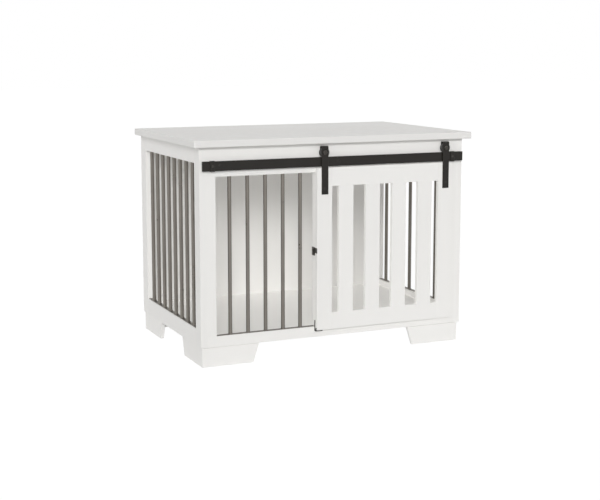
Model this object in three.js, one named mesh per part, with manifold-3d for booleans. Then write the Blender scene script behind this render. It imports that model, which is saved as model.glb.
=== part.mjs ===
// Dog crate end table: a white kennel cabinet with steel bar grilles and a sliding barn door.
// Millimetres. +X is the cabinet's right, +Y its back, +Z up. The origin is on the floor under
// the middle of the tabletop.

import * as THREE from 'three';
import { mergeVertices } from 'three/addons/utils/BufferGeometryUtils.js';
import Module from 'manifold-3d';

// ---- driving dimensions ----

// Tabletop: it overhangs the body at the front and sides and is flush with it at the back.
const topWidth = 800;
const topDepth = 514;
const topThickness = 18;
const sideOverhang = 18.5;
const frontOverhang = 19.5;

// Body, on its feet
const footHeight = 52;
const bodyHeight = 514;
const boardThickness = 18; // frames
const floorThickness = 18;
const backThickness = 18;

// Front frame, as it is seen from the front
const headerHeight = 75.5;
const sillHeight = 28;
const cornerWidth = 43; // side frame's edge and front stile together
const centreStileWidth = 43;
const grilleOpeningWidth = 277;

// Side frames
const sideFrontStileWidth = 38;
const sideBackStileWidth = 43;
const sideTopRailHeight = 42;
const sideBottomRailHeight = 44.5;

// Grilles: round bars welded between two flat strips
const barDiameter = 10;
const barPitch = 49.2;
const frontBarCount = 5;
const sideBarCount = 8;
const barSetback = 8; // from the frame's outer face to the bars' middle
const stripWidth = 11;
const stripThickness = 3;
const grooveClearance = 0.3; // round the upper strip, in its groove

// Bracket feet: boards in an L round a corner block
const footInset = 4.5; // at the front and sides, none at the back
const footLength = 157; // at the top
const footTaper = 16;
const footBoardThickness = 10;
const cornerBlockSize = 30;

// Barn door
const doorThickness = 12;
const doorGap = 2; // from the front frame
const doorPastStile = 0.5; // left edge, past the centre stile's left face
const doorLapRight = 5.5; // over the right stile
const doorSillLap = 8; // bottom edge, below the sill's top
const doorRailGap = 3; // from the door's top to the slide rail
const doorStileWidth = 43;
const doorTopRailHeight = 49;
const doorBottomRailHeight = 45;
const slatCount = 4;
const slatWidth = 42;
const slatEndGap = 20.5; // from each stile to the slat beside it
const guideGrooveWidth = 4;
const guideGrooveDepth = 9;

// Slide rail
const railHeight = 25;
const railThickness = 5;
const railStandoff = 7;
const railDrop = 35; // tabletop's underside to the rail's top
const railEndInset = 4.5; // from the body's sides
const railScrewInset = 48; // from the rail's ends, inside the stops
const spacerRadius = 7;
const screwRadius = 2.5;
const screwHeadRadius = 5;
const screwHeadHeight = 1.2;
const screwDepth = 12; // into the header
const screwClearance = 0.3;
const stopWidth = 13;
const leftStopInset = 31.5; // body's left side to the stop's middle
const rightStopInset = 36.5;
const stopWall = 2.2; // steel round the rail
const stopClearance = 0.3;

// Hangers and their wheels
const strapWidth = 19;
const strapThickness = 2;
const strapLeg = 70; // below the door's top edge
const strapBackLeg = 9; // below the axle
const strapRise = 17; // axle to the top of the bend
const strapCornerRadius = 3.5;
const wheelTreadRadius = 11.5;
const wheelFlangeRadius = 13.3;
const wheelWidth = 8;
const wheelSideClearance = 0.5;
const wheelRailClearance = 0.3;
const wheelGrooveWidth = 5.8;
const axleRadius = 3;
const axleClearance = 0.25;
const axleHeadAcrossFlats = 10;
const axleHeadHeight = 3;
const axleCollarRadius = 4.5;
const axleCollarHeight = 1.6;

// Turn latch on the centre stile, and its strike on the door's left edge
const latchHeight = 229.4; // middle of the base plate, above the body's bottom
const latchBaseHeight = 22;
const latchBaseDepth = 17;
const latchBaseThickness = 1.7;
const latchPivotRise = 3.4; // pivot above the base plate's middle
const latchPivotSetback = 6; // pivot behind the front frame's face
const latchArmWidth = 8;
const latchArmReach = 17;
const latchArmThickness = 2.5;
const latchArmGap = 0.5; // from the base plate
const latchPinRadius = 1.5;
const latchPinDepth = 4; // into the stile
const latchPinClearance = 0.3;
const strikeHeight = 14;
const strikeThickness = 1;

// Floor guide: an angle under the door with a fin in the door's groove
const guideLength = 20;
const guidePastStile = 2;
const guidePlateThickness = 1.5;
const guidePlateHeight = 29;
const guideDrop = 2; // below the door
const guideFinThickness = 2;
const guideFinHeight = 6; // inside the groove

// ---- places worked out from them ----

const bodyLeft = -topWidth / 2 + sideOverhang;
const bodyRight = -bodyLeft;
const bodyFront = -topDepth / 2 + frontOverhang;
const bodyBack = topDepth / 2;
const bodyBottom = footHeight;
const bodyTop = footHeight + bodyHeight;
const innerLeft = bodyLeft + boardThickness;
const innerRight = bodyRight - boardThickness;
const frameBack = bodyFront + boardThickness;
const floorTop = bodyBottom + sillHeight;
const headerBottom = bodyTop - headerHeight;
const stileLeft = bodyLeft + cornerWidth + grilleOpeningWidth; // centre stile's left face

const railTop = bodyTop - railDrop;
const railBottom = railTop - railHeight;
const railBack = bodyFront - railStandoff;
const railFront = railBack - railThickness;
const railMiddle = (railFront + railBack) / 2;

const doorBack = bodyFront - doorGap;
const doorFront = doorBack - doorThickness;
const doorMiddle = (doorFront + doorBack) / 2;
const doorLeft = stileLeft - doorPastStile;
const doorRight = bodyRight - cornerWidth + doorLapRight;
const doorBottom = floorTop - doorSillLap;
const doorTop = railBottom - doorRailGap;
const axleHeight = railTop + wheelRailClearance + wheelTreadRadius;
const hangerXs = [doorLeft + doorStileWidth / 2, doorRight - doorStileWidth / 2];

// ---- finishes ----

const whiteLacquer = { color: 0xe9e8e5, roughness: 0.45, metalness: 0 };
const darkSteel = { color: 0x77736d, roughness: 0.4, metalness: 0.6 };
const blackSteel = { color: 0x2e2c2a, roughness: 0.5, metalness: 0.5 };
const blackNylon = { color: 0x39383a, roughness: 0.55, metalness: 0 };

// ---- solids ----

const wasm = await Module();
wasm.setup();

function toSolid(geometry) {
  const bare = geometry.clone();
  bare.deleteAttribute('normal');
  bare.deleteAttribute('uv');
  const merged = mergeVertices(bare, 1e-4);
  return new wasm.Manifold(new wasm.Mesh({
    numProp: 3,
    vertProperties: new Float32Array(merged.attributes.position.array),
    triVerts: new Uint32Array(merged.index.array),
  }));
}

function toGeometry(solid) {
  const mesh = solid.getMesh();
  const geometry = new THREE.BufferGeometry();
  geometry.setAttribute('position', new THREE.BufferAttribute(mesh.vertProperties, 3));
  geometry.setIndex(new THREE.BufferAttribute(mesh.triVerts, 1));
  geometry.computeVertexNormals();
  return geometry;
}

function join(...geometries) {
  return toGeometry(geometries.map(toSolid).reduce((sum, solid) => sum.add(solid)));
}

function cut(geometry, ...tools) {
  return toGeometry(tools.map(toSolid).reduce((rest, tool) => rest.subtract(tool), toSolid(geometry)));
}

// A block from its low and high corners
function block(low, high) {
  const size = low.map((value, i) => high[i] - value);
  const middle = low.map((value, i) => (value + high[i]) / 2);
  return new THREE.BoxGeometry(...size).translate(...middle);
}

// A round rod along y, from y0 to y1
function rodAlongY(radius, y0, y1, x, z, sides = 24) {
  return new THREE.CylinderGeometry(radius, radius, y1 - y0, sides).translate(x, (y0 + y1) / 2, z);
}

function rodAlongX(radius, x0, x1, y, z, sides = 24) {
  const rod = new THREE.CylinderGeometry(radius, radius, x1 - x0, sides);
  return rod.rotateZ(-Math.PI / 2).translate((x0 + x1) / 2, y, z);
}

function outline(points, holes = []) {
  const shape = new THREE.Shape(points.map(([a, b]) => new THREE.Vector2(a, b)));
  shape.holes = holes.map((hole) => new THREE.Path(hole.map(([a, b]) => new THREE.Vector2(a, b))));
  return shape;
}

function extrude(shape, depth) {
  return new THREE.ExtrudeGeometry(shape, { depth, bevelEnabled: false, curveSegments: 6 });
}

// An outline in (y, z), carried along x
function extrudeAlongX(shape, x0, x1) {
  const turn = new THREE.Matrix4().makeBasis(
    new THREE.Vector3(0, 1, 0), new THREE.Vector3(0, 0, 1), new THREE.Vector3(1, 0, 0));
  return extrude(shape, x1 - x0).applyMatrix4(turn).translate(x0, 0, 0);
}

// An outline in (x, z), carried along y
function extrudeAlongY(shape, y0, y1) {
  const turn = new THREE.Matrix4().makeBasis(
    new THREE.Vector3(1, 0, 0), new THREE.Vector3(0, 0, 1), new THREE.Vector3(0, -1, 0));
  return extrude(shape, y1 - y0).applyMatrix4(turn).translate(0, y1, 0);
}

function place(group, name, finish, geometry) {
  const mesh = new THREE.Mesh(geometry, new THREE.MeshStandardMaterial(finish));
  mesh.name = name;
  group.add(mesh);
  return mesh;
}

// ---- cabinet ----

// One welded grille, its length along x, its lower strip's underside at z = 0 and its bars'
// middle plane at y = 0. The upper strip ends at the given height.
function grille(length, height, barCount) {
  const strip = (z) => block(
    [-length / 2, -stripWidth / 2, z],
    [length / 2, stripWidth / 2, z + stripThickness]);
  const firstBar = -barPitch * (barCount - 1) / 2;
  const barLength = height - stripThickness; // it ends in the middle of each strip
  const bars = Array.from({ length: barCount }, (_, i) =>
    new THREE.CylinderGeometry(barDiameter / 2, barDiameter / 2, barLength, 16)
      .rotateX(Math.PI / 2).rotateZ(Math.PI / 16)
      .translate(firstBar + i * barPitch, 0, height / 2));
  return join(strip(0), strip(height - stripThickness), ...bars);
}

// The groove for a grille's upper strip, in the underside of a rail at the given height
function stripGroove(low, high, z) {
  return block(
    [low[0], low[1], z - 1],
    [high[0], high[1], z + stripThickness + grooveClearance]);
}

function addShell(cabinet) {
  place(cabinet, 'tabletop', whiteLacquer,
    block([-topWidth / 2, -topDepth / 2, bodyTop], [topWidth / 2, topDepth / 2, bodyTop + topThickness]));
  place(cabinet, 'floor_panel', whiteLacquer, block(
    [innerLeft, frameBack, floorTop - floorThickness],
    [innerRight, bodyBack - backThickness, floorTop]));
  place(cabinet, 'back_panel', whiteLacquer, block(
    [innerLeft, bodyBack - backThickness, bodyBottom],
    [innerRight, bodyBack, bodyTop]));
}

function addSideFrame(cabinet, side, outerX, inward) {
  const xs = [outerX, outerX + inward * boardThickness].sort((a, b) => a - b);
  const openingFront = bodyFront + sideFrontStileWidth;
  const openingBack = bodyBack - sideBackStileWidth;
  const openingBottom = bodyBottom + sideBottomRailHeight;
  const openingTop = bodyTop - sideTopRailHeight;
  const board = (y0, y1, z0, z1) => block([xs[0], y0, z0], [xs[1], y1, z1]);
  const barX = outerX + inward * barSetback;
  const halfGroove = stripWidth / 2 + grooveClearance;

  place(cabinet, `${side}_front_stile`, whiteLacquer, board(bodyFront, openingFront, bodyBottom, bodyTop));
  place(cabinet, `${side}_back_stile`, whiteLacquer, board(openingBack, bodyBack, bodyBottom, bodyTop));
  place(cabinet, `${side}_bottom_rail`, whiteLacquer,
    board(openingFront, openingBack, bodyBottom, openingBottom));
  place(cabinet, `${side}_top_rail`, whiteLacquer, cut(
    board(openingFront, openingBack, openingTop, bodyTop),
    stripGroove([barX - halfGroove, openingFront - 1], [barX + halfGroove, openingBack + 1], openingTop)));

  const length = openingBack - openingFront - 2 * grooveClearance;
  const height = openingTop + stripThickness - openingBottom;
  const bars = place(cabinet, `${side}_grille`, darkSteel,
    grille(length, height, sideBarCount).rotateZ(Math.PI / 2));
  bars.position.set(barX, (openingFront + openingBack) / 2, openingBottom);
}

function addFrontFrame(cabinet) {
  const board = (x0, x1, z0, z1) => block([x0, bodyFront, z0], [x1, frameBack, z1]);
  const openingLeft = bodyLeft + cornerWidth;
  const barY = bodyFront + barSetback;
  const halfGroove = stripWidth / 2 + grooveClearance;
  const holeEnd = bodyFront + screwDepth + screwClearance;
  const screwHoles = railScrewXs().map((x) => rodAlongY(
    screwRadius + screwClearance, bodyFront - 1, holeEnd, x, railScrewHeight()));

  place(cabinet, 'front_header', whiteLacquer, cut(
    board(innerLeft, innerRight, headerBottom, bodyTop),
    stripGroove([openingLeft, barY - halfGroove], [stileLeft, barY + halfGroove], headerBottom),
    ...screwHoles));
  place(cabinet, 'front_sill', whiteLacquer, board(innerLeft, innerRight, bodyBottom, floorTop));
  place(cabinet, 'front_left_stile', whiteLacquer, board(innerLeft, openingLeft, floorTop, headerBottom));
  place(cabinet, 'front_centre_stile', whiteLacquer, cut(
    board(stileLeft, stileLeft + centreStileWidth, floorTop, headerBottom),
    latchPinHole()));
  place(cabinet, 'front_right_stile', whiteLacquer,
    board(bodyRight - cornerWidth, innerRight, floorTop, headerBottom));

  const length = grilleOpeningWidth - 2 * grooveClearance;
  const bars = place(cabinet, 'front_grille', darkSteel,
    grille(length, headerBottom + stripThickness - floorTop, frontBarCount));
  bars.position.set((openingLeft + stileLeft) / 2, barY, floorTop);
}

// A foot at one corner. The long outline tapers towards the floor at its free end.
function addFoot(cabinet, name, side, end) {
  const cornerX = side * (bodyRight - footInset);
  const cornerY = end < 0 ? bodyFront + footInset : bodyBack;
  const outlineFrom = (corner, direction, start) => outline([
    [corner + direction * start, 0],
    [corner + direction * (footLength - footTaper), 0],
    [corner + direction * footLength, footHeight],
    [corner + direction * start, footHeight],
  ]);
  const across = [cornerY, cornerY - end * footBoardThickness].sort((a, b) => a - b);
  const along = [cornerX, cornerX - side * footBoardThickness].sort((a, b) => a - b);

  place(cabinet, `${name}_foot_wide_board`, whiteLacquer,
    extrudeAlongY(outlineFrom(cornerX, -side, 0), ...across));
  place(cabinet, `${name}_foot_side_board`, whiteLacquer,
    extrudeAlongX(outlineFrom(cornerY, -end, footBoardThickness), ...along));

  const low = [cornerX - side * footBoardThickness, cornerY - end * footBoardThickness];
  const high = [low[0] - side * cornerBlockSize, low[1] - end * cornerBlockSize];
  place(cabinet, `${name}_foot_block`, whiteLacquer, block(
    [Math.min(low[0], high[0]), Math.min(low[1], high[1]), 0],
    [Math.max(low[0], high[0]), Math.max(low[1], high[1]), footHeight]));
}

// ---- slide rail ----

function railScrewXs() {
  const end = bodyRight - railEndInset - railScrewInset;
  return [-end, 0, end];
}

function railScrewHeight() {
  return (railTop + railBottom) / 2;
}

function addRail(cabinet) {
  const half = bodyRight - railEndInset;
  const z = railScrewHeight();
  const hole = screwRadius + screwClearance;
  place(cabinet, 'slide_rail', blackSteel, cut(
    block([-half, railFront, railBottom], [half, railBack, railTop]),
    ...railScrewXs().map((x) => rodAlongY(hole, railFront - 1, railBack + 1, x, z))));

  ['left', 'middle', 'right'].forEach((name, i) => {
    const x = railScrewXs()[i];
    place(cabinet, `rail_spacer_${name}`, blackSteel, cut(
      rodAlongY(spacerRadius, railBack, bodyFront, x, z),
      rodAlongY(hole, railBack - 1, bodyFront + 1, x, z)));
    place(cabinet, `rail_screw_${name}`, blackSteel, join(
      rodAlongY(screwHeadRadius, railFront - screwHeadHeight, railFront, x, z),
      rodAlongY(screwRadius, railFront - screwHeadHeight / 2, bodyFront + screwDepth, x, z)));
  });

  const stops = { left: bodyLeft + leftStopInset, right: bodyRight - rightStopInset };
  for (const [name, x] of Object.entries(stops)) {
    const around = (grow) => [
      [railFront - grow, railBottom - grow], [railBack + grow, railBottom - grow],
      [railBack + grow, railTop + grow], [railFront - grow, railTop + grow],
    ];
    const ring = outline(around(stopClearance + stopWall), [around(stopClearance)]);
    place(cabinet, `rail_stop_${name}`, blackSteel,
      extrudeAlongX(ring, x - stopWidth / 2, x + stopWidth / 2));
  }
}

// ---- door ----

// A door board's outline in (y, z), with the guide's groove in its bottom edge
function groovedOutline(top) {
  const grooveFront = doorMiddle - guideGrooveWidth / 2;
  const grooveBack = doorMiddle + guideGrooveWidth / 2;
  const grooveTop = doorBottom + guideGrooveDepth;
  return outline([
    [doorFront, doorBottom], [grooveFront, doorBottom],
    [grooveFront, grooveTop], [grooveBack, grooveTop],
    [grooveBack, doorBottom], [doorBack, doorBottom],
    [doorBack, top], [doorFront, top],
  ]);
}

function addDoorPanel(door) {
  const innerLeftX = doorLeft + doorStileWidth;
  const innerRightX = doorRight - doorStileWidth;
  const slatBottom = doorBottom + doorBottomRailHeight;
  const slatTop = doorTop - doorTopRailHeight;
  place(door, 'door_left_stile', whiteLacquer,
    extrudeAlongX(groovedOutline(doorTop), doorLeft, innerLeftX));
  place(door, 'door_right_stile', whiteLacquer,
    extrudeAlongX(groovedOutline(doorTop), innerRightX, doorRight));
  place(door, 'door_bottom_rail', whiteLacquer,
    extrudeAlongX(groovedOutline(slatBottom), innerLeftX, innerRightX));
  place(door, 'door_top_rail', whiteLacquer,
    block([innerLeftX, doorFront, slatTop], [innerRightX, doorBack, doorTop]));

  // the slats between the end ones share the room evenly
  const firstSlat = innerLeftX + slatEndGap;
  const lastSlat = innerRightX - slatEndGap - slatWidth;
  for (let i = 0; i < slatCount; i += 1) {
    const x = firstSlat + (lastSlat - firstSlat) * i / (slatCount - 1);
    place(door, `door_slat_${i + 1}`, whiteLacquer,
      block([x, doorFront, slatBottom], [x + slatWidth, doorBack, slatTop]));
  }
}

// Hanger strap: a long front leg on the door, a bend over the wheel and a short back leg
function hangerOutline() {
  const outerFront = doorFront - strapThickness;
  const innerBack = railMiddle + wheelWidth / 2 + wheelSideClearance;
  const outerBack = innerBack + strapThickness;
  const top = axleHeight + strapRise;
  const inner = strapCornerRadius - strapThickness;
  const shape = new THREE.Shape();
  shape.moveTo(outerFront, doorTop - strapLeg);
  shape.lineTo(doorFront, doorTop - strapLeg);
  shape.lineTo(doorFront, top - strapCornerRadius);
  shape.absarc(doorFront + inner, top - strapCornerRadius, inner, Math.PI, Math.PI / 2, true);
  shape.absarc(innerBack - inner, top - strapCornerRadius, inner, Math.PI / 2, 0, true);
  shape.lineTo(innerBack, axleHeight - strapBackLeg);
  shape.lineTo(outerBack, axleHeight - strapBackLeg);
  shape.absarc(innerBack - inner, top - strapCornerRadius, strapCornerRadius, 0, Math.PI / 2, false);
  shape.absarc(doorFront + inner, top - strapCornerRadius, strapCornerRadius, Math.PI / 2, Math.PI, false);
  return { shape, outerFront, outerBack };
}

function addHanger(door, side, x) {
  const { shape, outerFront, outerBack } = hangerOutline();
  place(door, `hanger_strap_${side}`, blackSteel, cut(
    extrudeAlongX(shape, x - strapWidth / 2, x + strapWidth / 2),
    rodAlongY(axleRadius + axleClearance, outerFront - 1, outerBack + 1, x, axleHeight)));

  const headRadius = axleHeadAcrossFlats / Math.sqrt(3);
  const bolt = join(
    rodAlongY(headRadius, outerFront - axleHeadHeight, outerFront, x, axleHeight, 6),
    rodAlongY(axleRadius, outerFront - axleHeadHeight / 2, outerBack + axleCollarHeight / 2, x, axleHeight),
    rodAlongY(axleCollarRadius, outerBack, outerBack + axleCollarHeight, x, axleHeight));
  place(door, `wheel_axle_${side}`, blackSteel, bolt);
}

// A grooved wheel, turned round the axle's line
function addWheel(group, side, x) {
  const half = wheelWidth / 2;
  const groove = wheelGrooveWidth / 2;
  const bore = axleRadius + axleClearance;
  const rim = 0.4; // the groove's sides lean out by this much
  const profile = [
    [bore, -half], [wheelFlangeRadius, -half], [wheelFlangeRadius, -groove - rim],
    [wheelTreadRadius, -groove], [wheelTreadRadius, groove],
    [wheelFlangeRadius, groove + rim], [wheelFlangeRadius, half], [bore, half], [bore, -half],
  ].map(([r, y]) => new THREE.Vector2(r, y));
  const wheel = place(group, `hanger_wheel_${side}`, blackNylon, new THREE.LatheGeometry(profile, 36));
  wheel.position.set(x, railMiddle, axleHeight);
}

// ---- latch ----

function latchPivot() {
  return { y: bodyFront + latchPivotSetback, z: bodyBottom + latchHeight + latchPivotRise };
}

function latchPinHole() {
  const { y, z } = latchPivot();
  return rodAlongX(latchPinRadius + latchPinClearance, stileLeft - latchBaseThickness - 1,
    stileLeft + latchPinDepth + latchPinClearance, y, z);
}

function addLatch(cabinet, door, arm) {
  const { y, z } = latchPivot();
  const middle = bodyBottom + latchHeight;
  const baseFront = bodyFront + (boardThickness - latchBaseDepth) / 2;
  const baseLeft = stileLeft - latchBaseThickness;
  place(cabinet, 'latch_base', blackSteel, cut(
    block([baseLeft, baseFront, middle - latchBaseHeight / 2],
      [stileLeft, baseFront + latchBaseDepth, middle + latchBaseHeight / 2]),
    latchPinHole()));
  place(door, 'latch_strike', blackSteel, block(
    [doorLeft - strikeThickness, doorFront, z - strikeHeight / 2],
    [doorLeft, doorBack, z + strikeHeight / 2]));

  // The arm hangs down at rest, with round ends; it turns up to point forwards.
  const half = latchArmWidth / 2;
  const shape = new THREE.Shape();
  shape.absarc(y, z, half, 0, Math.PI, false);
  shape.absarc(y, z - latchArmReach + half, half, Math.PI, 2 * Math.PI, false);
  const armRight = baseLeft - latchArmGap;
  place(arm, 'latch_arm', blackSteel, join(
    extrudeAlongX(shape, armRight - latchArmThickness, armRight),
    rodAlongX(latchPinRadius, armRight - latchArmThickness / 2, stileLeft + latchPinDepth, y, z)));
}

// ---- floor guide ----

function addFloorGuide(cabinet) {
  const under = doorBottom - guideDrop;
  const foot = under - guidePlateThickness;
  const plateFront = bodyFront - guidePlateThickness;
  const finFront = doorMiddle - guideFinThickness / 2;
  const finBack = doorMiddle + guideFinThickness / 2;
  const finTop = doorBottom + guideFinHeight;
  const x = stileLeft - guidePastStile;
  place(cabinet, 'floor_guide', blackSteel, extrudeAlongX(outline([
    [bodyFront, foot], [bodyFront, foot + guidePlateHeight], [plateFront, foot + guidePlateHeight],
    [plateFront, under], [finBack, under], [finBack, finTop], [finFront, finTop], [finFront, foot],
  ]), x, x + guideLength));
}

// ---- assembly ----

const endTable = new THREE.Group();
const cabinet = new THREE.Group();
const door = new THREE.Group();
const wheels = new THREE.Group();
const latchArm = new THREE.Group();
endTable.add(cabinet, door, wheels, latchArm);

addShell(cabinet);
addSideFrame(cabinet, 'left', bodyLeft, 1);
addSideFrame(cabinet, 'right', bodyRight, -1);
addFrontFrame(cabinet);
addFoot(cabinet, 'front_left', -1, -1);
addFoot(cabinet, 'front_right', 1, -1);
addFoot(cabinet, 'back_left', -1, 1);
addFoot(cabinet, 'back_right', 1, 1);
addRail(cabinet);
addDoorPanel(door);
['left', 'right'].forEach((side, i) => {
  addHanger(door, side, hangerXs[i]);
  addWheel(wheels, side, hangerXs[i]);
});
addLatch(cabinet, door, latchArm);
addFloorGuide(cabinet);

export default endTable;
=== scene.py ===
import itertools
import math

import bmesh
import bpy
import numpy as np
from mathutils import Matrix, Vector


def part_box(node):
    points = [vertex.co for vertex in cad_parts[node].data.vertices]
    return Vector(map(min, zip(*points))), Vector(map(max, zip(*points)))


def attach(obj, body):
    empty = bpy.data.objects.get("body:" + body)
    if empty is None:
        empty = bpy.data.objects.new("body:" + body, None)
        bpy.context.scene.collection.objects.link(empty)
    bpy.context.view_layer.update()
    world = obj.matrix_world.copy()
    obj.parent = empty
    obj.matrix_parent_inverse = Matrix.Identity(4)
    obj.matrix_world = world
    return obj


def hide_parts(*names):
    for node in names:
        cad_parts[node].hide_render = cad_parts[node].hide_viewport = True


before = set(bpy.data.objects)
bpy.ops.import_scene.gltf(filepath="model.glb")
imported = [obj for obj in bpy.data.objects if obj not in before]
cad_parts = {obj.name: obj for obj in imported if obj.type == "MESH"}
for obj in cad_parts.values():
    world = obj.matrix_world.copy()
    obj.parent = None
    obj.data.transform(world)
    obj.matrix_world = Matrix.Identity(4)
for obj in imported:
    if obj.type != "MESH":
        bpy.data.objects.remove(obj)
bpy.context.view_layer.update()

scene = bpy.context.scene
mm = 0.001

# The photograph's own standing place and angle of view. The camera looks down a little and has
# little shift, where the photograph's is level with a large shift, because other views keep it.
camera = {
    "place": (-1.4008, -3.1281, 0.8175),
    "turn": 24.143,  # degrees to the right of straight ahead
    "tilt": 7.944,  # degrees below the horizon
    "lens": 73.697,
    "sensor": 36,
    "shift": -0.055,
    "clip": (0.05, 100),
}


def addCamera():
    data = bpy.data.cameras.new("photo_camera")
    data.lens = camera["lens"]
    data.sensor_width = camera["sensor"]
    data.shift_y = camera["shift"]
    data.clip_start, data.clip_end = camera["clip"]
    view = bpy.data.objects.new("photo_camera", data)
    view.location = camera["place"]
    view.rotation_euler = (math.radians(90 - camera["tilt"]), 0, -math.radians(camera["turn"]))
    scene.collection.objects.link(view)
    scene.camera = view


addCamera()
print("camera in place")


# A shape below is three things: an array of points, a list of faces that hold the points'
# numbers, and each point's edge value, from 0 on a flat to 1 in the middle of a rounding.

axisNumber = {"x": 0, "y": 1, "z": 2}
axisOrder = {"x": (1, 2, 0), "y": (2, 0, 1), "z": (0, 1, 2)}  # two across the axis, one along
acrossAxes = {"x": [1, 2], "y": [0, 2], "z": [0, 1]}


def solidBox(node):
    low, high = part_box(node)
    return np.array(low), np.array(high)


def rectangle(low, high):
    return [(low[0], low[1]), (high[0], low[1]), (high[0], high[1]), (low[0], high[1])]


# Rounded outline. Every corner gives steps + 1 points on an arc whose middle keeps the corner's
# radius from both edges: inside the outline at a convex corner, outside it at a hollow one.
# The normal turns evenly from one edge's normal to the next one's.
def roundOutline(corners, radii, steps):
    points = np.array(corners, float)
    x, y = points[:, 0], points[:, 1]
    if np.sum(x * np.roll(y, -1) - y * np.roll(x, -1)) < 0:  # the corners run clockwise
        points = points[::-1]
        radii = np.broadcast_to(radii, len(points))[::-1]
    edges = np.roll(points, -1, axis=0) - points
    edges /= np.linalg.norm(edges, axis=1)[:, None]
    after = np.stack([edges[:, 1], -edges[:, 0]], 1)
    before = np.roll(after, 1, axis=0)
    cross = before[:, 0] * after[:, 1] - before[:, 1] * after[:, 0]
    dot = np.sum(before * after, axis=1)
    side = np.sign(cross) * np.broadcast_to(radii, len(points))
    middle = points - side[:, None] * (before + after) / (1 + dot)[:, None]
    share = np.linspace(0, 1, steps + 1)
    start, bend = np.arctan2(before[:, 1], before[:, 0]), np.arctan2(cross, dot)
    angle = start[:, None] + bend[:, None] * share
    normals = np.stack([np.cos(angle), np.sin(angle)], -1)
    arcs = middle[:, None] + side[:, None, None] * normals
    edge = np.broadcast_to(np.sin(np.pi * share), angle.shape)
    return arcs.reshape(-1, 2), normals.reshape(-1, 2), edge.reshape(-1)


# Points about a centre, from two places across the axis and one along it. The direction -1
# turns the shape half round, so that it points the other way.
def aboutAxis(axis, centre, first, second, along, direction=1):
    places = np.broadcast_arrays(first * direction, second, along * direction)
    points = np.empty((*places[0].shape, 3))
    for number, place in zip(axisOrder[axis], places):
        points[..., number] = centre[number] + place
    return points.reshape(-1, 3)


# Rings of the same number of points, joined by four-sided faces round and along
def ringFaces(rings, count, closed=False):
    along = np.arange(rings if closed else rings - 1)[:, None]
    around = np.arange(count)[None, :]
    nextRing = (along + 1) % rings
    nextPoint = (around + 1) % count
    quads = np.stack([
        along * count + around, along * count + nextPoint,
        nextRing * count + nextPoint, nextRing * count + around,
    ], -1)
    return quads.reshape(-1, 4).tolist()


# The faces that close the first and the last ring
def firstFace(count):
    return list(range(count))[::-1]


def lastFace(rings, count):
    return list(range((rings - 1) * count, rings * count))


# A straight piece of one section. Its outline lies across the axis, and its two end faces have
# rims of a quarter circle: at the angle a the ring stands in by rim * (1 - cos a) and lies
# rim * (1 - sin a) before the end. The outline's corners are in the order (y, z), (x, z) or (x, y).
def straightPiece(axis, corners, low, high, radii, rim, steps=2):
    outline = np.array(corners, float)
    if axis == "y":
        outline = outline[:, ::-1]
    points, normals, bend = roundOutline(outline, radii, steps)
    quarter = np.linspace(np.pi / 2, 0, steps + 1)
    inset = rim * (1 - np.cos(quarter))
    depth = rim * (1 - np.sin(quarter))
    insets = np.concatenate([inset, inset[::-1]])
    places = np.concatenate([low + depth, high - depth[::-1]])
    rimBend = np.concatenate([np.sin(2 * quarter), np.sin(2 * quarter[::-1])])
    flat = points[None] - insets[:, None, None] * normals[None]
    solid = aboutAxis(axis, (0, 0, 0), flat[..., 0], flat[..., 1], places[:, None])
    count = len(points)
    faces = ringFaces(len(places), count) + [firstFace(count), lastFace(len(places), count)]
    edge = np.maximum(rimBend[:, None], bend[None, :]).reshape(-1)
    return solid, faces, edge


# A turned piece: its closed outline of (radius, height) goes round the axis at the centre.
# Every point is centre + radius * (cos t, sin t) across the axis + height along it.
def turnedPiece(axis, centre, outline, radii, sides, steps=2, wave=None):
    profile, _, bend = roundOutline(outline, radii, steps)
    turn = np.arange(sides) / sides * 2 * np.pi
    radius = profile[:, 0][:, None] * np.ones(sides)
    height = profile[:, 1][:, None]
    if wave is not None:
        radius = wave(turn[None, :], radius)
    solid = aboutAxis(axis, centre, radius * np.cos(turn), radius * np.sin(turn), height)
    return solid, ringFaces(len(profile), sides, closed=True), np.repeat(bend, sides)


# Several shapes as one
def joined(shapes):
    points, faces, edges = [], [], []
    start = 0
    for shapePoints, shapeFaces, shapeEdges in shapes:
        points.append(shapePoints)
        edges.append(shapeEdges)
        faces += [[start + number for number in face] for face in shapeFaces]
        start += len(shapePoints)
    return np.concatenate(points), faces, np.concatenate(edges)


meshing = {"merge": 1e-6, "sharpAngle": 40, "faceWeight": 100}


# Puts shapes into one mesh, closes its seams and poles, and sets it on its body
def addPiece(name, shapes, material, body, nodes=(), toneAndPaintedLight=0.0):
    points, faces, edges = joined(shapes)
    mesh = bpy.data.meshes.new(name)
    mesh.from_pydata(points.tolist(), [], faces)
    for attribute, values in (("edge", edges), ("toneAndPaintedLight", np.full(len(points), toneAndPaintedLight))):
        mesh.attributes.new(attribute, "FLOAT", "POINT").data.foreach_set("value", values)
    work = bmesh.new()
    work.from_mesh(mesh)
    bmesh.ops.remove_doubles(work, verts=work.verts, dist=meshing["merge"])
    bmesh.ops.recalc_face_normals(work, faces=work.faces)
    work.to_mesh(mesh)
    work.free()
    mesh.polygons.foreach_set("use_smooth", np.ones(len(mesh.polygons), bool))
    mesh.set_sharp_from_angle(angle=math.radians(meshing["sharpAngle"]))
    mesh.materials.append(material)
    piece = bpy.data.objects.new(name, mesh)
    scene.collection.objects.link(piece)
    weighted = piece.modifiers.new("flat_faces", "WEIGHTED_NORMAL")  # wide faces stay evenly lit
    weighted.weight = meshing["faceWeight"]
    weighted.keep_sharp = True
    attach(piece, body)
    if nodes:
        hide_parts(*nodes)


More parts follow.
